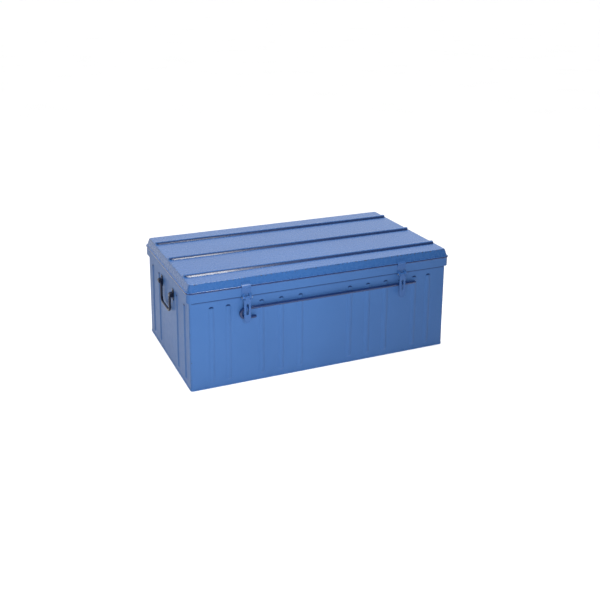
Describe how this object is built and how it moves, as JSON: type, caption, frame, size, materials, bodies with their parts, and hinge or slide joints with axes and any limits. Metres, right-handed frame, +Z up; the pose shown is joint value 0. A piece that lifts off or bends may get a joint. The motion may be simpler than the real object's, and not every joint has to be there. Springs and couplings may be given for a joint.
{
  "type": "storage trunk",
  "caption": "Rectangular ribbed sheet-steel storage trunk with a hinged lid, slotted hasps, a long hooked closing rod in staples and a drop handle at each end.",
  "frame": {"origin": "centre of the underside, on the floor", "axes": "+X along the front towards the right end, +Y from the front to the back, +Z up"},
  "size_m": [0.93, 0.5323, 0.354],
  "materials": {
    "body_enamel": "glossy blue enamel over pressed steel sheet",
    "lid_enamel": "glossy blue enamel over pressed steel sheet, lightly dusted on top",
    "fitting_enamel": "blue enamel over steel fittings, worn at the edges",
    "handle_enamel": "near-black navy enamel, chipped where it rubs",
    "pin_zinc": "dull zinc-plated steel"
  },
  "bodies": {
    "trunk": {"base_panel": "body_enamel", "base_hem": "body_enamel", "front_panel": "body_enamel", "back_panel": "body_enamel", "left_end_panel": "body_enamel", "right_end_panel": "body_enamel", "body_rim": "body_enamel", "rod_staples": "fitting_enamel", "hinge_body_leaves": "fitting_enamel", "hinge_pins": "pin_zinc", "hinge_body_rivets": "fitting_enamel", "left_handle_brackets": "handle_enamel", "right_handle_brackets": "handle_enamel", "left_handle_rivets": "handle_enamel", "right_handle_rivets": "handle_enamel"},
    "lid": {"lid_top_pan": "lid_enamel", "lid_rim_band": "lid_enamel", "hinge_lid_leaves": "fitting_enamel", "hinge_lid_rivets": "fitting_enamel", "left_hasp_leaf": "fitting_enamel", "right_hasp_leaf": "fitting_enamel", "left_hasp_pin": "pin_zinc", "right_hasp_pin": "pin_zinc"},
    "left_hasp": {"left_hasp_tongue": "fitting_enamel"},
    "right_hasp": {"right_hasp_tongue": "fitting_enamel"},
    "rod": {"closing_rod": "fitting_enamel"},
    "left_handle": {"left_handle_bail": "handle_enamel"},
    "right_handle": {"right_handle_bail": "handle_enamel"}
  },
  "joints": [
    {"name": "lid_hinge", "type": "hinge", "parent": "trunk", "child": "lid", "pos_m": [0, 0.256, 0.2845], "axis": [-1, 0, 0], "range_deg": [0, 105]},
    {"name": "left_hasp_hinge", "type": "hinge", "parent": "lid", "child": "left_hasp", "pos_m": [-0.272, -0.2665, 0.288], "axis": [-1, 0, 0], "range_deg": [0, 150]},
    {"name": "right_hasp_hinge", "type": "hinge", "parent": "lid", "child": "right_hasp", "pos_m": [0.272, -0.2665, 0.288], "axis": [-1, 0, 0], "range_deg": [0, 150]},
    {"name": "rod_slide", "type": "slide", "parent": "trunk", "child": "rod", "axis": [-1, 0, 0], "range_m": [0, 0.605]},
    {"name": "left_handle_swing", "type": "hinge", "parent": "trunk", "child": "left_handle", "pos_m": [-0.458, 0, 0.253], "axis": [0, 1, 0], "range_deg": [0, 110]},
    {"name": "right_handle_swing", "type": "hinge", "parent": "trunk", "child": "right_handle", "pos_m": [0.458, 0, 0.253], "axis": [0, -1, 0], "range_deg": [0, 110]}
  ]
}
